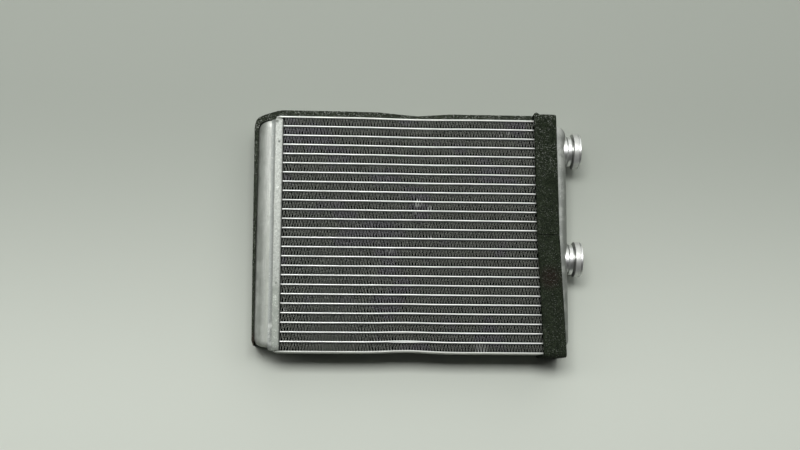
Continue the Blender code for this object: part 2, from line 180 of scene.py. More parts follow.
class Net:
    """The nodes of one material or world."""

    def __init__(self, owner):
        owner.use_nodes = True
        self.tree = owner.node_tree

    def feed(self, socket, value):
        if isinstance(value, Wire):
            self.tree.links.new(socket, value.socket)
        else:
            socket.default_value = value

    def node(self, kind, settings=None, inputs=None, output=0):
        """Any node: its settings first, then the values or links of its sockets."""
        made = self.tree.nodes.new(kind)
        for key, value in (settings or {}).items():
            setattr(made, key, value)
        for key, value in (inputs or {}).items():
            self.feed(made.inputs[key], value)
        return Wire(self, made.outputs[output])

    def maths(self, operation, *inputs):
        return self.node("ShaderNodeMath", {"operation": operation}, dict(enumerate(inputs)))

    def vector(self, operation, *inputs, output=0):
        return self.node("ShaderNodeVectorMath", {"operation": operation}, dict(enumerate(inputs)), output)

    def step(self, value, low, high):
        """A soft step from 0 at low to 1 at high."""
        inputs = {0: value, 1: low, 2: high, 3: 0.0, 4: 1.0}
        return self.node("ShaderNodeMapRange", {"interpolation_type": "SMOOTHSTEP"}, inputs)


print("wires and nets ready")

# %% Finishes


class Finish(Net):
    """One material. Places in it are in core millimetres."""

    def __init__(self, name):
        self.material = bpy.data.materials.new(name)
        super().__init__(self.material)
        self.shader = self.tree.nodes["Principled BSDF"]
        spot = self.node("ShaderNodeTexCoord", output="Object")
        self.at = self.vector("MULTIPLY_ADD", spot, (1000, 1000, 1000), tuple(-MIDDLE))

    def set(self, **sockets):
        """Feeds the shader, with _ for a space in a socket's name."""
        for key, value in sockets.items():
            self.feed(self.shader.inputs[key.replace("_", " ")], value)

    def noise(self, size, detail=3.0, rough=0.5, stretch=(1, 1, 1), shift=0.0):
        """Cloudy noise from 0 to 1. A stretch over 1 draws the lumps out that way."""
        scale = tuple(1 / (size * way) for way in stretch)
        place = self.vector("MULTIPLY_ADD", self.at, scale, (shift, shift, shift))
        inputs = {"Vector": place, "Scale": 1.0, "Detail": detail, "Roughness": rough}
        return self.node("ShaderNodeTexNoise", {}, inputs)

    def cells(self, size, shift=0.0):
        """Distance from the middles of scattered cells, in cell sizes."""
        place = self.vector("MULTIPLY_ADD", self.at, (1 / size,) * 3, (shift, shift, shift))
        return self.node("ShaderNodeTexVoronoi", {}, {"Vector": place, "Scale": 1.0})

    def blend(self, factor, first, second):
        """A colour between two colours."""
        first, second = ((*c, 1.0) if isinstance(c, tuple) else c for c in (first, second))
        return self.node("ShaderNodeMix", {"data_type": "RGBA"}, {0: factor, 6: first, 7: second}, output=2)

    def paint(self, amount, colour):
        """Lays a colour over the one so far, by an amount from 0 to 1."""
        self.colour = self.blend(amount, self.colour, colour)
        self.set(Base_Color=self.colour)

    def axis(self, letter):
        return self.node("ShaderNodeSeparateXYZ", {}, {0: self.at}, output="XYZ".index(letter))

    def off_middle(self, letter):
        """Distance from the middle of the core along one axis."""
        return self.maths("ABSOLUTE", self.axis(letter))

    def ramp(self, letter, low, high):
        """A soft step along one axis."""
        return self.step(self.axis(letter), low, high)

    def near(self, place, radius, soft=0.5):
        """1 inside a radius round a place, and 0 outside, with a soft edge."""
        distance = self.vector("DISTANCE", self.at, place, output="Value")
        return 1 - self.step(distance, radius * (1 - soft), radius)

    def bump(self, height, millimetres):
        """Raises the surface by the height, from 0 to 1, times so many millimetres."""
        inputs = {"Height": height, "Distance": millimetres / 1000, "Strength": 1.0}
        self.set(Normal=self.node("ShaderNodeBump", {}, inputs))


print("Blender", bpy.app.version_string)

# %% [markdown]
# ## Finish of the brazed parts
#
# The whole core goes through one furnace. Clad sheet melts at its surface and joins whatever touches it,
# and the flux leaves a pale, matt bloom with white flecks on the metal. So every sheet part starts from
# the same satin aluminium and differs in how much bloom it carries: tubes are nearly clean, tanks dull,
# and header rims, which hold the most braze, are mottled white. Inside the stack everything is painted near
# black, as painted shade between the parts, and only the front and back noses of the tubes stay bright.

# %% Brazed sheet


def brazed(name, clean, bloom, amount, streaks, metal, roughness, pits=(), darker_below=-1000.0):
    """Satin sheet with rolling streaks along one way, bloom over a share of it, and painted shade inside the
    stack.
    """
    finish = Finish(name)
    grain = finish.noise(0.55, 3.0, 0.65, stretch=streaks)
    clouds = finish.noise(9.0, 4.0, 0.62)
    flecks = finish.noise(0.9, 3.0, 0.7, shift=5.0)
    cover = finish.step(clouds + 0.35 * flecks, 0.92 - amount, 1.12 - amount)
    bright = finish.step(flecks, 0.58, 0.72)
    pale = finish.step(cover + 0.7 * bright, 0.15, 1.3)
    finish.colour = finish.blend(pale, clean, bloom)
    finish.paint(finish.step(grain, 0.35, 0.65) * 0.45, tuple(0.62 * part for part in clean))
    # Darker towards the lower end, below a given Y.
    low = 1 - finish.step(finish.axis("Y") + 3.0 * clouds, darker_below, darker_below + 2.5)
    finish.paint(0.65 * low, (0.25, 0.28, 0.24))
    # The pits are also painted dark, as painted shade in the dents.
    dips = 0.0
    for place, radius in pits:
        dips = finish.near(place, radius, 0.8) + dips
    if pits:
        finish.paint(dips * 0.8, (0.06, 0.07, 0.06))
    # Painted shade: inside the stack, between the headers and the side plates and away from the front and
    # back, the sheet is painted near black and loses its shine.
    painted_shade_inside = 1 - finish.step(finish.off_middle("X"), 98.4, 99.2)
    painted_shade_inside = painted_shade_inside * (1 - finish.step(finish.off_middle("Y"), 87.0, 87.4))
    painted_shade_inside = painted_shade_inside * (1 - finish.step(finish.off_middle("Z"), 12.3, 12.65))
    finish.paint(0.97 * painted_shade_inside, (0.012, 0.013, 0.011))
    finish.set(
        Metallic=(metal - 0.35 * pale) * (1 - painted_shade_inside),
        Roughness=roughness + 0.12 * pale + 0.12 * grain,
        Specular_IOR_Level=0.15,
    )
    finish.bump(0.5 * flecks + 0.25 * grain - dips, 0.10)
    return finish


# %% Tubes and side plates: clean, with streaks along X
tube_metal = brazed(
    "tube_metal", clean=(0.72, 0.74, 0.71), bloom=(0.80, 0.82, 0.79), amount=0.30, streaks=(40, 1, 1),
    metal=0.85, roughness=0.38,
)
plate_metal = brazed(
    "plate_metal", clean=(0.66, 0.68, 0.64), bloom=(0.74, 0.76, 0.72), amount=0.36, streaks=(40, 1, 1),
    metal=0.65, roughness=0.42,
)
# Darker along the lower side plate, most of all towards its left tip.
lower_side = 1 - plate_metal.ramp("Y", -60.0, -50.0)
tip = 1 - plate_metal.ramp("X", -101.0, -90.0)
plate_metal.paint(lower_side * (0.30 + 0.45 * tip), (0.22, 0.24, 0.21))
print("finishes:", tube_metal.material.name, plate_metal.material.name)

# %% Tanks: dull, with painted shade on the flank, low down and beside the rim, painted light on the verge, and a painted highlight
tank_metal = brazed(
    "tank_metal", clean=(0.52, 0.54, 0.50), bloom=(0.62, 0.64, 0.60), amount=0.38, streaks=(1, 24, 1),
    metal=0.42, roughness=0.44,
)
# Painted shade: the tank's outer flank, which turns away from the light, is painted darker.
flank = 1 - tank_metal.ramp("X", -115.5, -107.5)
tank_metal.paint(0.80 * flank, (0.21, 0.23, 0.20))
down = 1 - tank_metal.ramp("Y", -70.0, 70.0)
# Painted light: the outermost edge of the flank is painted lighter again, more so towards the lower end.
painted_light_verge = 1 - tank_metal.ramp("X", -116.2, -112.6)
tank_metal.paint(painted_light_verge * (0.15 + 0.75 * down), (0.52, 0.55, 0.50))
# Painted shade: towards the lower end, the outer part of the tank is painted darker.
painted_shade_low = down * down * (1 - tank_metal.ramp("X", -109.5, -105.5))
tank_metal.paint(0.25 * painted_shade_low * (1 - painted_light_verge), (0.20, 0.22, 0.19))
# Painted shade beside the rim on the lower part of the tank, together with random dark marks.
painted_shade_near_rim = tank_metal.ramp("X", -111.5, -108.0) * (1 - tank_metal.ramp("Y", -30.0, 60.0))
marks = tank_metal.step(tank_metal.noise(1.4, 3.0, 0.65, stretch=(1, 2, 1), shift=8.0), 0.54, 0.68)
tank_metal.paint(0.5 * painted_shade_near_rim + 0.22 * marks, (0.24, 0.26, 0.22))
# Painted highlight at the tank's upper corner beside the rim.
glint = tank_metal.near((-107.6, 82.0, 12.0), 4.5, 0.7)
tank_metal.paint(0.8 * glint, (0.86, 0.88, 0.83))

port_tank_metal = brazed(
    "port_tank_metal", clean=(0.37, 0.39, 0.36), bloom=(0.53, 0.55, 0.51), amount=0.34, streaks=(1, 24, 1),
    metal=0.42, roughness=0.44,
)
# Painted shade: darker towards the tank's outer side, which turns away from the light.
port_tank_metal.paint(0.5 * port_tank_metal.ramp("X", 110.0, 114.0), (0.10, 0.11, 0.095))
print("finishes:", tank_metal.material.name, port_tank_metal.material.name)

# %% Header plates and braze: mottled, darker low down, with pits and blobs, and painted shade in the pits, at the bend and at the foot
RIM_PITS = (((-103.0, 83.6, 15.9), 2.1), ((-101.2, 67.9, 16.1), 1.4), ((-101.6, -38.0, 16.1), 1.3))
header_metal = brazed(
    "header_metal", clean=(0.42, 0.44, 0.41), bloom=(0.64, 0.67, 0.62), amount=0.46, streaks=(1, 4, 1),
    metal=0.45, roughness=0.46, pits=RIM_PITS, darker_below=-40.0,
)
# Darker towards the lower end, and in random spots.
lower = 1 - header_metal.ramp("Y", -50.0, 70.0)
spots = header_metal.step(header_metal.noise(1.5, 3.0, 0.65, shift=12.0), 0.50, 0.62)
header_metal.paint(0.42 * lower + 0.34 * spots, (0.26, 0.28, 0.25))
flakes = header_metal.step(header_metal.noise(1.2, 2.0, 0.6, shift=31.0), 0.60, 0.68)
header_metal.paint(0.55 * flakes, (0.74, 0.77, 0.71))
# Painted shade: the face and bend beside the fins, and the rounded lower end of each cup, are painted near
# black.
bend = 1 - header_metal.step(header_metal.off_middle("X"), 98.4, 99.4)
foot = 1 - header_metal.ramp("Y", -87.9, -86.7)
header_metal.paint(0.8 * bend + 0.85 * foot, (0.05, 0.055, 0.05))

braze_metal = brazed(
    "braze_metal", clean=(0.31, 0.33, 0.31), bloom=(0.58, 0.61, 0.56), amount=0.24, streaks=(1, 1, 1),
    metal=0.35, roughness=0.45,
)
blobs = braze_metal.near((-104.6, -69.3, 15.0), 3.2, 0.9) * 0.8
blobs = blobs + braze_metal.near((-104.6, -82.5, 15.0), 2.6, 0.9) * 0.6
braze_metal.paint(blobs, (0.72, 0.75, 0.70))
print("finishes:", header_metal.material.name, braze_metal.material.name)

# %% [markdown]
# ## How the tubes bow
#
# The photograph shows the stack pinched halfway along, where a strap held it in the furnace: the outermost
# lines dip towards the middle of the core by about a millimetre, and the dip fades within a few rows. One
# function gives that shift for any line at any X. Tubes, plates, fins and foam all read it, so that they
# stay in contact. Line 0 is the lower side plate, 1 to 24 are tubes and 25 is the upper side plate.

# %% Bow of a line


def line_y(line, x):
    """Y of the middle of a tube or a side plate at X."""
    x = np.asarray(x, float)
    straight = np.clip((line - 12.5) * PITCH, -PLATE_MIDDLE, PLATE_MIDDLE)
    top = 0.62 * np.exp(-(((x - 8) / 30) ** 2) - (25 - line) / 5)
    bottom = 1.15 * np.exp(-(((x + 6) / 20) ** 2) - line / 3)
    held = np.clip(1 - (x / HEADER_FACE) ** 2, 0, 1)
    wave = [noise.noise(Vector((value / 28, 1.9 * line, 0.3))) for value in x.ravel()]
    wave = np.array(wave).reshape(x.shape)
    return straight - 0.3 * (line == 0) + (bottom - top) * held + 0.14 * wave * held


print("upper plate at its lowest:", round(float(line_y(25, [8.0])[0]), 2), "mm")

# %% [markdown]
# ## Tubes
#
# Each tube is extruded flat, with round noses, and its noses are the bright lines of the photograph. A
# tube could be a bevelled curve, but its section is an oval and its ends are open, so it is skinned: the
# outer oval along the bow, then back through the inner oval, as one closed shell.

# %% Tubes


def oval(thick, depth, steps=8):
    """The section of a flat tube, as (across, along) points."""
    radius = thick / 2
    place = depth / 2 - radius
    noses = arc((0, place), radius, 0, 180, steps), arc((0, -place), radius, 180, 360, steps)
    return np.concatenate(noses)


def tube_shape(line):
    stations = np.linspace(-TUBE_END, TUBE_END, 72)
    outer, inner = oval(TUBE_THICK, TUBE_DEPTH), oval(TUBE_THICK - 2 * TUBE_WALL, TUBE_DEPTH - 2 * TUBE_WALL)
    proud = 0.12 * noise.noise(Vector((3.1 * line, 0.5, 0.5)))
    rings = []
    for section, places in ((outer, stations), (inner, stations[[-1, 0]])):
        for x, y in zip(places, line_y(line, places)):
            rings.append([(x, y + across, along + proud) for across, along in section])
    return skin(rings, close_run=True)


for line in range(1, TUBES + 1):
    make_piece(f"flat_tube_{line:02d}", tube_shape(line), tube_metal, [f"tube_{line:02d}"])
print("tubes:", TUBES)

# %% [markdown]
# ## Folded fins
#
# A row of fins is one strip of foil, folded to and fro by a pair of gear rolls and cut with louvres, then
# brazed to the tubes at every crest. Its crests are arcs, and the legs between them are their common
# tangents. No row is perfect: the pitch drifts and the legs lean one way and then the other, which gives
# the photograph's zigzag texture. A few knocks bend the front edges over.

# %% Line of a folded strip
FOLDS = 94
FIN_SPAN = 195.6
FIN_DEPTH = 25.0
FOIL = 0.09
CREST_RADIUS = 0.17
ROW_HALF = (PITCH - TUBE_THICK) / 2


def crest_places(row):
    """X of each crest, trough and crest again along a row, with its drift and lean."""
    even = np.linspace(-FIN_SPAN / 2, FIN_SPAN / 2, 2 * FOLDS + 1)
    drift = np.array([noise.noise(Vector((x / 14, 3.7 * row, 9.0))) for x in even])
    lean = np.array([noise.noise(Vector((x / 22, 5.3 * row, 4.0))) for x in even])
    shake = np.array([noise.noise(Vector((x / 0.9, 2.2 * row, 1.0))) for x in even])
    side = np.where(np.arange(len(even)) % 2, 1.0, -1.0)
    fade = np.clip((FIN_SPAN / 2 - abs(even)) / 3, 0, 1)
    return even + fade * (0.12 * drift + 0.14 * side * lean + 0.02 * shake)


def folded_line(row, steps=4):
    """The strip's middle line, as x and a height from -ROW_HALF to ROW_HALF."""
    x = crest_places(row)
    side = np.where(np.arange(len(x)) % 2, 1.0, -1.0)
    reach = ROW_HALF - FOIL / 2 - CREST_RADIUS
    across = np.diff(x)
    apart = np.hypot(across, 2 * reach)
    turn = 2 * CREST_RADIUS / apart
    lead = np.sqrt(1 - turn**2)
    fall = -side[:-1] * 2 * reach
    normal_x = (turn * across - lead * fall * side[:-1]) / apart
    normal_y = (turn * fall + lead * across * side[:-1]) / apart
    points = []
    for i in range(len(x)):
        up = side[i] * math.pi / 2
        start = math.atan2(-normal_y[i - 1], -normal_x[i - 1]) if i else up
        stop = math.atan2(normal_y[i], normal_x[i]) if i < len(x) - 1 else up
        if side[i] > 0 and start < stop:
            start += 2 * math.pi
        if side[i] < 0 and start > stop:
            start -= 2 * math.pi
        start, stop = math.degrees(start), math.degrees(stop)
        points.append(arc((x[i], side[i] * reach), CREST_RADIUS, start, stop, steps))
    return np.concatenate(points)


print("points in one row:", len(folded_line(0)))

# %% Fins as sheets, with their knocks
# Each knock has its X, Y, radius and strength.
KNOCKS = (
    (2.9, 23.4, 5.0, 0.9),
    (11.9, 19.7, 3.5, 0.7),
    (0.6, 15.8, 2.2, 0.9),
    (-9.3, -9.2, 2.0, 0.8),
    (-18.0, -12.3, 5.0, 0.5),
    (11.9, -2.9, 2.4, 0.8),
    (65.7, 76.4, 1.8, 0.7),
    (71.0, 78.0, 2.5, 0.5),
    (50.0, -84.6, 8.0, 0.5),
    (-95.0, -57.0, 3.0, 0.6),
    (-95.6, -45.0, 3.0, 0.5),
)


def knock_shift(x, y, bend):
    """How far the knocks push the front edge over, in X and Y."""
    shift_x, shift_y = np.zeros(len(x)), np.zeros(len(x))
    for knock_x, knock_y, radius, strength in KNOCKS:
        reach = np.exp(-(((x - knock_x) / radius) ** 2) - ((y - knock_y) / 2.6) ** 2) * bend * strength
        if reach.max() < 0.01:
            continue
        places = np.stack([x, y, np.zeros(len(x))], -1)
        shift_x += reach * (0.6 + 1.2 * ripple(places, 1.3, knock_x))
        shift_y += reach * 0.5 * ripple(places, 1.1, knock_y)
    inside = np.clip((FIN_SPAN / 2 - abs(x)) / 1.5, 0, 1)
    return shift_x * inside, shift_y


def fin_shape(row):
    """The strip between line row and line row + 1."""
    middle = folded_line(row)
    along = np.gradient(middle, axis=0)
    along /= np.linalg.norm(along, axis=1)[:, None]
    across = np.stack([along[:, 1], -along[:, 0]], -1) * FOIL / 2
    low = line_y(row, middle[:, 0]) + TUBE_THICK / 2
    high = line_y(row + 1, middle[:, 0]) - TUBE_THICK / 2
    levels = (-FIN_DEPTH / 2, FIN_DEPTH / 2 - 3.2, FIN_DEPTH / 2 - 1.3, FIN_DEPTH / 2)
    bends = (0.0, 0.0, 0.35, 1.0)
    sides = []
    for sign, order in ((1, (0, 1, 2, 3)), (-1, (3, 2, 1, 0))):
        flat = middle + sign * across
        y = low + (high - low) * (flat[:, 1] / ROW_HALF + 1) / 2
        for level in order:
            shift_x, shift_y = knock_shift(middle[:, 0], y, bends[level])
            sides.append(np.stack([flat[:, 0] + shift_x, y + shift_y, np.full(len(y), levels[level])], -1))
    return skin(np.stack(sides, 1), caps=True)


print("knocks in the fins:", len(KNOCKS))

# %% [markdown]
# ## Finish of the fins
#
# Fin foil is duller than the tubes. Its faces are painted near black, as painted shade deep in the stack, in
# faint patches of green and violet. Only its cut edges shine, and painted shade dims them close to the tubes.
# Near the front, one flank of every fold is painted lighter in patches, as painted light on the side that
# faces the lamp, which the shader tells apart by the sign of X times Y in the normal. Where the knocks push
# the front edges over, the foil is painted bright, a painted highlight. The louvres are slits across each
# leg, too fine
# for the mesh, so they are a bump: a wave along Z, held off the crests by a mask that repeats with the tube
# pitch.

# %% Foil
foil_metal = Finish("foil_metal")
patchiness = foil_metal.noise(18.0, 3.0, 0.55)
speck = foil_metal.noise(1.6, 2.0, 0.6, shift=3.0)
patches = foil_metal.step(foil_metal.noise(24.0, 1.0, 0.5, shift=7.0), 0.54, 0.64)
out = foil_metal.off_middle("Z")
front = foil_metal.step(out, 12.38, 12.48)
rise = foil_metal.step(out, 11.4, 12.5)
# Painted shade: the faces are painted near black for the shade deep in the stack, in faint patches of green
# and violet.
foil_metal.colour = foil_metal.blend(patches, (0.0070, 0.0088, 0.0062), (0.0080, 0.0074, 0.0090))
# Painted light: near the front, the flank of each fold that faces the lamp is painted lighter, in patches.
normal = foil_metal.node("ShaderNodeNewGeometry", output="Normal")
facing_x, facing_y = (foil_metal.node("ShaderNodeSeparateXYZ", {}, {0: normal}, output=i) for i in range(2))
painted_lit_flank = foil_metal.step(facing_x * facing_y, -0.02, 0.06)
foil_metal.paint(rise * painted_lit_flank * foil_metal.step(patchiness, 0.20, 0.55), (0.060, 0.064, 0.056))
# Painted shade: the shining cut edges are painted darker close to the tubes.
row_place = foil_metal.maths("PINGPONG", foil_metal.axis("Y"), PITCH / 2)
shade = 1 - 0.5 * foil_metal.step(row_place, 1.4, 2.6)
tint = foil_metal.blend(patches, (0.60, 0.63, 0.56), (0.60, 0.597, 0.617))
foil_metal.paint(front * (0.7 + 0.3 * speck) * shade, tint)

# %% Knocks and louvres in the foil
LOUVRE_PITCH = 1.3
# Painted highlight: where the knocks push the front edges over, the foil is painted bright.
bent_highlight = 0.0
for x, y, radius, strength in KNOCKS:
    bent_highlight = foil_metal.near((x, y, FIN_DEPTH / 2), 0.8 * radius, 0.6) * strength + bent_highlight
foil_metal.paint(bent_highlight * foil_metal.step(out, 10.8, 11.8), (0.86, 0.88, 0.84))
foil_metal.set(Metallic=0.40 * front, Roughness=0.55, Specular_IOR_Level=0.0)
louvre = foil_metal.maths("SINE", foil_metal.axis("Z") * (2 * math.pi / LOUVRE_PITCH))
leg = foil_metal.step(row_place, 0.7, 1.1) * (1 - foil_metal.step(row_place, 2.2, 2.6))
foil_metal.bump(0.5 + 0.5 * louvre * leg, 0.12)
print("finish:", foil_metal.material.name)

# %% Rows of fins
for row in range(TUBES + 1):
    nodes = [f"fin_{row + 1:02d}"] if 0 < row < TUBES else []
    make_piece(f"fin_row_{row + 1:02d}", fin_shape(row), foil_metal, nodes, crease=60)
print("rows of fins:", TUBES + 1)

# %% [markdown]
# ## Side plates
#
# A strip of thicker sheet closes the stack at each side. It is cut at a slant where it laps over the
# header plate. The solid holds the outermost row of fins too, which was made above, so this piece only has
# to be the strip itself, with rounded edges that catch the light.

# %% Side plates


def side_plate_shape(line, outwards):
    """The strip along a line, cut at a slant on the side that faces out, over its last 2.4 mm."""
    stations = np.linspace(-PLATE_END, PLATE_END, 90)
    half, depth, edge = PLATE_THICK / 2, TUBE_DEPTH / 2, 0.55
    corners = []
    for a, b, start in ((half, depth, 0), (-half, depth, 90), (-half, -depth, 180), (half, -depth, 270)):
        middle = (math.copysign(abs(a) - edge, a), math.copysign(abs(b) - edge, b))
        corners.append(arc(middle, edge, start, start + 90, 4))
    section = np.concatenate(corners)
    rings = []
    for x, y in zip(stations, line_y(line, stations)):
        slant = 0.9 * np.clip(1 - (PLATE_END - abs(x)) / 2.4, 0, 1)
        ring = []
        for across, along in section:
            narrow = across - outwards * slant if across * outwards > 0 else across
            ring.append((x, y + narrow, along))
        rings.append(ring)
    return skin(rings, caps=True)


for name, line, outwards in (("lower", 0, -1), ("upper", TUBES + 1, 1)):
    shape = side_plate_shape(line, outwards)
    make_piece(f"side_strip_{name}", shape, plate_metal, [f"side_plate_{name}"])
print("side plates made")

# %% [markdown]
# ## Header plates
#
# The header plate is a shallow pressed cup. Its flat face takes the tubes and its rim takes the tank. The
# rim is what the photograph shows, as a pale band beside the fins. The cup is skinned from its face round
# the bend, over the rounded edge of the rim and back inside, and light noise gives it the unevenness of a
# pressing.

# %% Rings of a cup


def rounded_outline(half_y, half_z, radius, along_y=120, along_z=14, corner=8):
    """A rounded rectangle in Y and Z. Every one has the same number of points."""
    runs = []
    corners = ((1, 1, 0), (-1, 1, 90), (-1, -1, 180), (1, -1, 270))
    y, z = half_y - radius, half_z - radius
    arcs = [arc((a * y, b * z), radius, start, start + 90, corner) for a, b, start in corners]
    for i, bend in enumerate(arcs):
        count = along_z if i % 2 else along_y
        fractions = np.linspace(0, 1, count + 2)[1:-1, None]
        runs += [bend, bend[-1] * (1 - fractions) + arcs[(i + 1) % 4][0] * fractions]
    return np.concatenate(runs)


def cup_ring(side, x, inset, uneven=0.0, seed=0.0):
    """A ring of the cup, with an inset from its outer size."""
    half_y, half_z = HEADER_HALF
    outline = rounded_outline(half_y - inset, half_z - inset, max(0.4, HEADER_CORNER - inset))
    ring = np.stack([np.full(len(outline), side * x), outline[:, 0], outline[:, 1]], -1)
    if uneven:
        lift = 1 + uneven * (ripple(ring, 9.0, seed) + 0.5 * ripple(ring, 3.0, seed)) / half_z
        ring[:, 1:] *= np.minimum(lift, 1.0)[:, None]
    return ring


print("points in one ring of a cup:", len(cup_ring(1, RIM_END, 0.0)))

# %% Header plates
HEADER_BEND = 2.0
HEADER_SHEET = 1.3
LONGER_FOOT = 1.3


def cup_profile():
    """The cup's section from its face round the bend, over the rim and back, as X and inset."""
    middle = (HEADER_FACE + HEADER_BEND, HEADER_BEND)
    profile = [(x, inset) for x, inset in arc(middle, HEADER_BEND, 180, 270, 7)]
    profile += [(HEADER_FACE + 3.2, 0.0), (HEADER_FACE + 4.4, 0.0), (RIM_END - 0.5, 0.0)]
    profile += [(RIM_END - 0.15, 0.12), (RIM_END, 0.5), (RIM_END, 0.9), (RIM_END - 0.2, 1.2)]
    profile += [(RIM_END - 0.5, HEADER_SHEET), (HEADER_FACE + HEADER_BEND, HEADER_SHEET)]
    return profile + [(HEADER_FACE + 1.5, 1.6), (HEADER_FACE + 1.3, 2.2)]


def lengthen_foot(points):
    """Draws the lower end of a cup out, as the photograph shows it."""
    points[:, 1] -= LONGER_FOOT * eased_step((-72 - points[:, 1]) / 12)


def header_shape(side):
    rings = [cup_ring(side, x, inset, 0.16, 4.0 + side) for x, inset in cup_profile()]
    points, faces = skin(rings, caps=True)
    lengthen_foot(points)
    return points, faces


for name, side in (("left", -1), ("right", 1)):
    shape = header_shape(side)
    make_piece(f"header_cup_{name}", shape, header_metal, [f"header_plate_{name}"])
print("header plates made")

# %% [markdown]
# ## Tanks
#
# Each tank is a deep pressing with a D section that closes in a round end. Its skirt sits inside the rim.
# The section is a superellipse, which is fuller than an arc, as pressings are. A skin of such sections
# along Y, with depth and thickness that shrink at the ends, gives the whole shape in one go.

# %% Tanks
TANK_END_ROUND = 7.2
TANK_ARCH = 2.6
TANK_CORNER = HEADER_CORNER - 1.5


def tank_section(depth, half):
    """A D section as X from the tank's mouth and Z, for a depth and half a thickness."""
    skirt = RIM_END - TANK_MOUTH
    angles = np.linspace(0, math.pi, 41)
    z = np.sign(np.cos(angles)) * np.abs(np.cos(angles)) ** (2 / TANK_ARCH) * half
    x = skirt + (depth - skirt) * np.sin(angles).clip(0) ** (2 / TANK_ARCH)
    return np.stack([np.concatenate([[0], x, [0]]), np.concatenate([[half], z, [-half]])], -1)


def tank_shape(side):
    full = TANK_SIDE - TANK_MOUTH
    turned = np.radians(np.linspace(0, 90, 15))
    ends = TANK_HALF[0] - TANK_END_ROUND * (1 - np.sin(turned))
    depths = full - TANK_END_ROUND * (1 - np.cos(turned))
    past = np.clip(ends - (TANK_HALF[0] - TANK_CORNER), 0, TANK_CORNER)
    halves = TANK_HALF[1] - TANK_CORNER + np.sqrt(TANK_CORNER**2 - past**2)
    straight = np.linspace(-ends[0], ends[0], 60)[1:-1]
    stations = [(-y, d, h) for y, d, h in zip(ends[::-1], depths[::-1], halves[::-1])]
    stations += [(y, full, TANK_HALF[1]) for y in straight] + list(zip(ends, depths, halves))
    rings = []
    for y, depth, half in stations:
        x, z = tank_section(depth, half).T
        rings.append(np.stack([side * (TANK_MOUTH + x), np.full(len(x), y), z], -1))
    points, faces = skin(rings, caps=True)
    uneven = 1 + 0.10 * (ripple(points, 12.0, 2.0 + side) - 0.6) / TANK_HALF[1]
    points[:, 2] *= np.minimum(uneven, 1.0)
    if side < 0:  # the left tank stands out 1 mm further than the right one, and 1.4 mm at its lower end
        fuller = 1.0 + 0.4 * eased_step((50 - points[:, 1]) / 110)
        points[:, 0] -= fuller * (abs(points[:, 0]) - RIM_END).clip(0) / (TANK_SIDE - RIM_END)
    points[:, 1] += 0.8 * eased_step((-66 - points[:, 1]) / 18) - 0.5 * eased_step((points[:, 1] - 66) / 18)
    return points, faces


for name, side, finish in (("left", -1, tank_metal), ("right", 1, port_tank_metal)):
    make_piece(f"tank_shell_{name}", tank_shape(side), finish, [f"tank_{name}"])
print("tanks made")

# %% [markdown]
# ## Braze fillets
#
# Molten braze creeps into the step between rim and tank and freezes as a hollow fillet, with lumps where
# it pooled. In the photograph that is the grey groove beside the pale rim. It is a small section swept
# round the rim, whose width and height follow noise, with a bulge at each place where the photograph shows
# a blob.

# %% Fillets
# Each pool has its Y, reach and amount.
POOLS = ((-69.3, 2.6, 0.9), (-81.8, 1.6, 0.9), (-53.0, 1.4, 0.5), (44.0, 1.2, 0.3), (12.0, 1.6, 0.35))


def swept(base, x, inset):
    """The base ring moved to X and drawn in by an inset, which may change along it."""
    scale_y = (HEADER_HALF[0] - inset) / HEADER_HALF[0]
    scale_z = (HEADER_HALF[1] - inset) / HEADER_HALF[1]
    return np.stack([np.broadcast_to(x, len(base)), base[:, 1] * scale_y, base[:, 2] * scale_z], -1)


def fillet_shape(side):
    """The fillet of one cup. Its pools are in front, on the left one only."""
    base = cup_ring(side, RIM_END, 0.0)
    lengthen_foot(base)
    width = 2.8 + 0.25 * ripple(base, 5.0, 7.0) + 0.15 * ripple(base, 1.6, 8.0)
    pooled = np.zeros(len(base))
    if side < 0:
        for y, reach, amount in POOLS:
            pooled += amount * np.exp(-(((base[:, 1] - y) / reach) ** 2)) * (base[:, 2] > 0)
    rings = []
    for share in np.linspace(0, 1, 8):
        x = RIM_END - 0.15 - 0.5 * pooled * (1 - share) + (width + 0.15) * share
        sag = 0.25 * math.sin(math.pi * share)
        inset = 0.50 + 0.80 * share + sag - 0.7 * pooled * math.sin(math.pi * min(1.0, 0.35 + share))
        rings.append(swept(base, side * x, inset))
    rings.append(swept(base, side * (RIM_END + 1.2), 2.1))
    rings.append(swept(base, side * (RIM_END - 0.8), 1.2))
    return skin(np.stack(rings, 1), close_run=True)


for name, side in (("left", -1), ("right", 1)):
    make_piece(f"braze_fillet_{name}", fillet_shape(side), braze_metal)
print("fillets made")

# %% [markdown]
# ## Coolant stubs
#
# The stubs are turned from bar: a neck, a groove for the clamp, a flange with eased edges and a thin lip
# round the seat of the O-ring. Anything turned is a profile spun about its axis, so the profile is given
# as corners with their own rounding and spun in 96 steps.

# %% Shape of a stub
# Each corner has its distance from the tank's side, its radius and its own rounding.
STUB_PROFILE = (
    (-4.6, 10.7, 0.0),
    (0.3, 10.7, 0.15),
    (0.9, 11.5, 0.3),
    (3.7, 11.5, 0.3),
    (3.7, 9.6, 0.1),
    (5.1, 9.6, 0.1),
    (5.1, 13.5, 0.3),
    (8.9, 13.5, 0.3),
    (8.9, 12.5, 0.15),
    (9.5, 12.5, 0.15),
    (9.5, 13.1, 0.2),
    (10.6, 13.1, 0.3),
    (10.6, 10.5, 0.2),
    (7.6, 10.5, 0.2),
    (7.6, 8.5, 0.2),
    (-4.6, 8.5, 0.0),
)


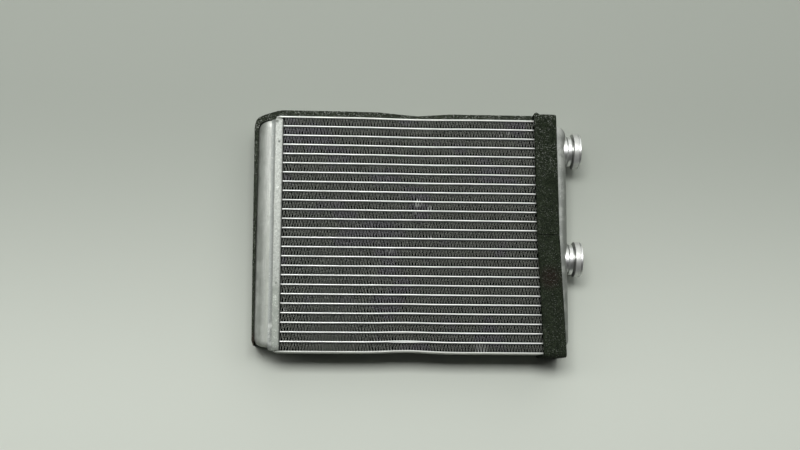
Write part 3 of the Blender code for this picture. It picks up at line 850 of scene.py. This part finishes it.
def eased(profile, steps=4):
    """A closed profile with each corner rounded by its own radius."""
    corners = np.array([(x, r) for x, r, _ in profile])
    points = []
    for i, (_, _, radius) in enumerate(profile):
        here = corners[i]
        if not radius:
            points.append(here)
            continue
        back, ahead = corners[i - 1] - here, corners[(i + 1) % len(corners)] - here
        back, ahead = back / np.linalg.norm(back), ahead / np.linalg.norm(ahead)
        for t in np.linspace(0, 1, steps + 1):
            points.append(here + radius * (back * (1 - t) ** 2 + ahead * t**2))
    return np.array(points)


def stub_shape(y):
    outline = eased(STUB_PROFILE)
    x, radius = TANK_SIDE + outline[:, 0], outline[:, 1]
    rings = []
    for angle in np.linspace(0, 2 * math.pi, 97)[:-1]:
        rings.append(np.stack([x, y + radius * math.sin(angle), radius * math.cos(angle)], -1))
    return skin(rings, close_run=True)


print("points in a stub's section:", len(eased(STUB_PROFILE)))

# %% Turned metal: fine rings, a matt flange and painted shade in the groove
turned_metal = Finish("turned_metal")
cut = turned_metal.noise(0.12, 2.0, 0.5, stretch=(1, 60, 60))
haze = turned_metal.noise(6.0, 3.0, 0.6)
along = turned_metal.axis("X") - TANK_SIDE
flange = turned_metal.step(along, 5.0, 5.2) * (1 - turned_metal.step(along, 8.8, 9.0))
groove_shade = turned_metal.step(along, 3.5, 3.8) * (1 - turned_metal.step(along, 5.0, 5.2))
turned_metal.colour = turned_metal.blend(
    turned_metal.step(haze, 0.45, 0.75), (0.80, 0.81, 0.80), (0.62, 0.63, 0.60)
)
# Painted shade in the clamp groove.
turned_metal.paint(groove_shade * 0.7, (0.16, 0.17, 0.15))
turned_metal.paint(flange * 0.6, (0.50, 0.51, 0.48))
turned_metal.set(
    Metallic=0.98 - 0.30 * flange,
    Roughness=0.33 + 0.08 * haze + 0.06 * cut + 0.03 * flange,
)
turned_metal.bump(cut, 0.006)

for name, y in STUB_PLACES.items():
    shape = stub_shape(y)
    make_piece(f"coolant_stub_{name}", shape, turned_metal, [f"stub_{name}"], crease=50)
print("stubs made")

# %% [markdown]
# ## Foam
#
# The seals are strips of soft black foam with a sticky back. Foam has no smooth face: its cut cells catch
# the light as specks. The mesh is fine enough for lumps of about a millimetre, pushed inwards only so that
# the strips keep their size, and the finish adds the cells as colour and bump. Pale dust lies in patches,
# painted thicker along the core's upper edge and on the front, where the light falls, so it is partly painted
# light, and each strip has one brown stain.

# %% Foam finish


def foam_finish(name, hollow, cut, dust_and_light, stain, reach, brown):
    """Foam in two darks, for its hollow cells and their cut walls, with dust, partly painted light, and one
    brown stain.
    """
    finish = Finish(name)
    pores = finish.cells(0.8)
    small = finish.cells(0.45, shift=4.0)
    lumps = finish.noise(3.2, 3.0, 0.6)
    dust = 1 - finish.step(finish.cells(1.35, shift=9.0), 0.14, 0.25)
    grit = 1 - finish.step(finish.cells(1.0, shift=14.0), 0.20, 0.34)
    settled = finish.noise(11.0, 2.0, 0.5, shift=2.0)
    # Dust and painted light: the pale specks are painted thicker towards the core's upper edge, most on the
    # strip's outer upper side, and on the front, where the light falls.
    high = 0.35 + 0.65 * finish.ramp("Y", 20.0, 84.0) + 0.6 * finish.ramp("Y", 89.5, 92.0)
    high = high * (0.4 + 0.6 * finish.ramp("Z", 4.0, 18.0))
    walls = finish.step(pores + 0.4 * small, 0.45, 0.95)
    finish.colour = finish.blend(walls, hollow, cut)
    finish.paint(finish.step(lumps, 0.45, 0.72) * 0.5, tuple(1.6 * part for part in cut))
    finish.paint(0.7 * finish.near(stain, reach, 0.8) * (0.5 + walls), brown)
    finish.paint((dust + 0.35 * grit) * finish.step(settled, 0.30, 0.55) * high * dust_and_light, (0.46, 0.48, 0.44))
    finish.set(Roughness=0.95, Specular_IOR_Level=0.1)
    finish.bump(0.7 * walls + 0.5 * lumps, 0.5)
    return finish


strip_foam = foam_finish(
    "strip_foam", hollow=(0.009, 0.012, 0.008), cut=(0.037, 0.045, 0.031), dust_and_light=1.6,
    stain=(-119, -82, 9), reach=11.0, brown=(0.040, 0.029, 0.022),
)
collar_foam = foam_finish(
    "collar_foam", hollow=(0.006, 0.009, 0.005), cut=(0.022, 0.029, 0.017), dust_and_light=0.7,
    stain=(101, -32, 19), reach=12.0, brown=(0.019, 0.013, 0.010),
)
print("finishes:", strip_foam.material.name, collar_foam.material.name)

# %% Lumps in the foam's skin
LUMPS = 1.9


def roughened(points, inwards, depth, seed):
    """Points pushed the way that each has as inwards, by up to the depth."""
    lumps = 0.5 + 0.5 * (0.6 * ripple(points, LUMPS, seed) + 0.7 * ripple(points, LUMPS / 2, seed + 3))
    return points + inwards * (depth * np.clip(lumps, 0, 1))[:, None]


print("lumps in the foam:", LUMPS, "and", LUMPS / 2, "mm across")

# %% [markdown]
# ## Edge strip
#
# One strip runs up the side of the left tank, round its corner and along the upper side plate, to end
# under the collar. It is as wide as the core is deep. Its inner and outer outlines are sampled to the same
# number of points, and each pair of points carries one section through the strip.

# %% Outlines of the edge strip
FOAM_BASE = 88.5
STRIP_LOW, STRIP_HIGH = -19.0, 11.0
STRIP_CORNER = (
    (-120.2, 78.0), (-120.1, 80.4), (-119.7, 82.8), (-118.9, 85.0), (-117.7, 86.7), (-115.9, 88.0),
    (-113.5, 89.1), (-110.9, 90.1), (-106.6, 91.5), (-102.9, 92.7), (-99.0, 93.25),
)
COLLAR_EDGE = 91.7
COLLAR_SKEW = {1: 0.0164, -1: 0.048}
STRIP_STEP = -103.85
TONGUE = 5.0


def sampled(points, count):
    """Points at even distances along a line."""
    points = np.asarray(points, float)
    lengths = np.concatenate([[0], np.cumsum(np.linalg.norm(np.diff(points, axis=0), axis=1))])
    places = np.linspace(0, lengths[-1], count)
    return np.stack([np.interp(places, lengths, points[:, i]) for i in (0, 1)], -1)


def collar_rise(along):
    """How far the strip's end lifts the collar, by distance from the collar's inner edge."""
    return np.interp(along, (0, 1.1, 2.2, 3.4, 4.2, 5.2, 6.5), (1.5, 2.6, 3.05, 2.6, 1.9, 1.2, 0.0))


def strip_outlines():
    """The strip's inner and outer outlines, from its foot to its end under the collar."""
    end_x = COLLAR_EDGE - COLLAR_SKEW[1] * 91 + TONGUE
    x = np.linspace(STRIP_STEP, end_x, 400)
    base = line_y(25, x) + PLATE_THICK / 2 + 0.08
    over_rim = [(-104.4, 84.9), (-104.4, 86.8), (STRIP_STEP, 86.8), (STRIP_STEP, base[0])]
    inner = [[(-117.75, -83.3), (-117.75, -20.0), (-117.4, 77.6)]]
    inner.append(np.concatenate([arc((-109.9, 77.6), 7.5, 180, 90, 8), over_rim]))
    inner.append(np.stack([x, base], -1))
    thick = np.interp(x, (-102, -60, -26, -9, 3, 16, 28, 95), (4.75, 4.7, 4.4, 2.8, 1.9, 2.9, 3.8, 3.9))
    under = collar_rise(x - (end_x - TONGUE)) - 0.2
    tuck = eased_step((x - (end_x - TONGUE)) / 0.5 + 1)
    top = FOAM_BASE + thick * (1 - tuck) + np.maximum(under, 0.25) * tuck
    outer = [[(-117.9, -82.9), (-119.1, -79.8), (-119.7, -20), (-120.2, 78.0)], STRIP_CORNER]
    outer.append(np.stack([x[x > -99.0], top[x > -99.0]], -1))
    counts = (230, 50, 380)
    return [np.concatenate([sampled(part, n) for part, n in zip(parts, counts)]) for parts in (inner, outer)]


print("the strip ends", TONGUE, "mm under the collar")

# %% Sections through the strip


def strip_shape():
    """Each section runs up the inner side, across the front, and down the outer side in fine steps."""
    inner, outer = strip_outlines()
    out = outer - inner
    out /= np.linalg.norm(out, axis=1)[:, None]
    levels_down = np.linspace(STRIP_HIGH - 0.7, STRIP_LOW + 0.4, 40)
    rings, pushes = [], []
    for a, b, way in zip(inner, outer, out):
        ring, push = [], []
        lean = 0.5 if a[0] < -112 and b[0] < -112 else 0.0
        for z, over in ((STRIP_LOW, 0.0), (-4.0, 0.0), (STRIP_HIGH - 0.2, lean)):
            ring.append((*(a - over * way), z))
            push.append((0, 0, 0))
        for share in np.linspace(0.08, 0.86, 6):
            ring.append((*(a + (b - a) * share), STRIP_HIGH))
            push.append((0, 0, -1))
        ring.append((*(b - 0.15 * way), STRIP_HIGH - 0.2))
        push.append((*(-0.7 * way), -0.7))
        for z in levels_down:
            ring.append((*b, z))
            push.append((*(-way), 0))
        ring.append((*(b - 0.3 * way), STRIP_LOW))
        push.append((0, 0, 0))
        rings.append(ring)
        pushes.append(push)
    points, faces = skin(rings, caps=True)
    return roughened(points, np.array(pushes, float).reshape(-1, 3), 0.55, 11.0), faces


make_piece("edge_foam", strip_shape(), strip_foam, ["foam_edge_strip"], crease=180)
print("edge strip made")

# %% [markdown]
# ## Collar
#
# Two lengths of the same foam wrap the end that carries the stubs, and meet in front and behind at a seam.
# They were stuck on slightly askew, the inner edge is ragged, and the upper length rides over the end of
# the edge strip with a small peak. Each is a C section skinned across the strip's width.

# %% Section of the collar
COLLAR_WIDTH = 16.8
COLLAR_THICK = 2.6


def collar_line(end_y, inner):
    """Points along the C, from the seam in front to the seam behind, and the way in at each."""
    thick = 0.0 if inner else COLLAR_THICK
    half, bend = 16.4, 1.6
    counts = (30, 6, 10) if inner else (124, 14, 34)
    y, z = end_y - bend, half - bend
    front = np.stack([np.linspace(0.2, y, counts[0]), np.full(counts[0], half + thick)], -1)
    turn = arc((y, z), bend + thick, 90, 0, counts[1])[1:]
    end = np.stack([np.full(counts[2], end_y + thick), np.linspace(z, -z, counts[2])], -1)[1:]
    half_line = np.concatenate([front, turn, end])
    back = half_line[: len(front) + len(turn)][::-1] * (1, -1)
    line = np.concatenate([half_line, back[1:]])
    way = np.gradient(line, axis=0)
    way /= np.linalg.norm(way, axis=1)[:, None]
    return line, np.stack([way[:, 1], -way[:, 0]], -1)


print("points in the collar's outer line:", len(collar_line(FOAM_BASE, False)[0]))

# %% Collar, in two lengths


def collar_shape(side):
    """One length, with its ragged inner edge and its crisp outer one."""
    rings, pushes = [], []
    for along in np.linspace(0, COLLAR_WIDTH, 26):
        rise = float(collar_rise(along)) if side > 0 else 0.0
        outer, inwards = collar_line(FOAM_BASE + (max(rise, 1.6) if side > 0 else 0.0), False)
        inner, _ = collar_line(FOAM_BASE + rise, True)
        edge = min(along, COLLAR_WIDTH - along)
        soft = 0.30 * math.exp(-((edge / 0.4) ** 2))
        line = np.concatenate([outer + inwards * soft, inner[::-1]])
        way = np.concatenate([inwards, np.zeros_like(inner)])
        torn = ripple([(side * y, z, 0.0) for y, z in line], 1.5, 21.0) * 0.45
        torn += ripple([(side * y, z, 5.0) for y, z in line], 6.0, 23.0) * 0.45
        ragged = np.maximum(torn, -0.1) * math.exp(-((along / 1.2) ** 2))
        crisp = -0.1 * abs(torn) * math.exp(-(((COLLAR_WIDTH - along) / 1.0) ** 2))
        x = COLLAR_EDGE - COLLAR_SKEW[side] * side * line[:, 0] + along + ragged + crisp
        rings.append(np.stack([x, side * line[:, 0], line[:, 1]], -1))
        pushes.append(np.stack([np.zeros(len(way)), side * way[:, 0], way[:, 1]], -1))
    points, faces = skin(rings, caps=True)
    return roughened(points, np.concatenate(pushes), 0.7, 15.0 + side), faces


for name, side in (("upper", 1), ("lower", -1)):
    shape = collar_shape(side)
    make_piece(f"collar_foam_{name}", shape, collar_foam, [f"foam_collar_{name}"], crease=180)
print("collar made")

# %% [markdown]
# ## What stays from the frame
#
# The partition is inside the right tank, where no camera sees it, and its solid is right as it is. It only
# gets the finish of the other brazed sheet.

# %% Partition
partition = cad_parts["partition_plate"]
for slot in partition.material_slots:
    slot.material = plate_metal.material
print("kept solids:", [name for name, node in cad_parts.items() if not node.hide_render])

# %% [markdown]
# ## Floor, light and camera
#
# The core lies on a plain pale floor, whose colour is painted lighter towards the viewer, as painted light.
# The shadow below the lower side plate gives the main lamp away: it is dark for 5 mm, then fades within 12
# mm, and its corners fade as fast. So that lamp is 15 to 30 degrees wide and about 16 degrees off overhead.
# The floor beside the tanks darkens much more slowly, which takes a second lamp of nearly the same power,
# seven times as long in X. The stubs show what else is in the room: a window beyond the core, from the
# horizon up, and dark for the rest. The camera's place and turn come from fitting a pinhole camera to the
# lines of the tubes.

# %% Floor
floor_mesh = bpy.data.meshes.new("floor")
floor_mesh.from_pydata([(-6, -6, 0), (6, -6, 0), (6, 6, 0), (-6, 6, 0)], [], [(0, 1, 2, 3)])
floor = bpy.data.objects.new("floor", floor_mesh)
floor.location.z = -0.0002
bpy.context.scene.collection.objects.link(floor)
floor_finish = Finish("floor_finish")
# Painted light: the floor's colour is painted lighter towards the viewer and darker beyond the core.
painted_light_falloff = floor_finish.ramp("Y", -150.0, 120.0)
floor_finish.set(
    Base_Color=floor_finish.blend(painted_light_falloff, (0.575, 0.608, 0.545), (0.338, 0.363, 0.320)),
    Roughness=0.75,
)
floor_mesh.materials.append(floor_finish.material)
print("floor made, at a height of", round(floor.location.z * 1000, 1), "mm")

# %% Light
LAMP_DISTANCE = 2.4
LAMP_TILT = math.radians(16.4)


def add_lamp(name, length, width, energy, x):
    """A rectangular lamp that looks at the core from above and a little behind."""
    lamp = bpy.data.lights.new(name, "AREA")
    lamp.shape = "RECTANGLE"
    lamp.size, lamp.size_y = length, width
    lamp.energy = energy
    holder = bpy.data.objects.new(name, lamp)
    holder.location = (x, LAMP_DISTANCE * math.sin(LAMP_TILT), LAMP_DISTANCE * math.cos(LAMP_TILT))
    holder.rotation_euler = (-LAMP_TILT, 0, 0)
    holder.visible_camera = False
    bpy.context.scene.collection.objects.link(holder)


add_lamp("main_lamp", length=1.3, width=0.62, energy=41, x=-0.25)
add_lamp("long_lamp", length=9.0, width=0.62, energy=40, x=-1.7)
print("lamps:", round(math.degrees(LAMP_TILT), 1), "degrees off overhead")

# %% Room
world = bpy.data.worlds.new("room")
bpy.context.scene.world = world
room = Net(world)
way = room.node("ShaderNodeTexCoord", output="Generated")
across, ahead, up = (room.node("ShaderNodeSeparateXYZ", {}, {0: way}, output=i) for i in range(3))
beside = room.maths("ABSOLUTE", across - 0.15)
window = room.step(ahead, 0.30, 0.50) * (1 - room.step(beside, 0.35, 0.60)) * room.step(up, -0.05, 0.05)
background = room.tree.nodes["Background"]
room.feed(background.inputs["Strength"], 0.03 + window)
background.inputs["Color"].default_value = (0.98, 1.0, 0.97, 1.0)
print("room made, with one window")

# %% Camera
SENSOR = 36
CAMERA_PLACE = (-0.0658, -0.1169, 0.9164)
CAMERA_TURNS = ((0.31, "Z"), (-3.39, "Y"), (7.82, "X"))
lens = bpy.data.cameras.new("camera")
lens.sensor_width = SENSOR
lens.lens = 1200 / 800 * SENSOR  # the fit gives 1200 pixels, and the picture is 800 wide
camera = bpy.data.objects.new("camera", lens)
bpy.context.scene.collection.objects.link(camera)
placed = Matrix.Translation(CAMERA_PLACE)
for angle, axis in CAMERA_TURNS:
    placed = placed @ Matrix.Rotation(math.radians(angle), 4, axis)
camera.matrix_world = placed
bpy.context.scene.camera = camera
bpy.context.scene.view_settings.view_transform = "Standard"
print("camera at", tuple(round(value, 3) for value in camera.matrix_world.translation))
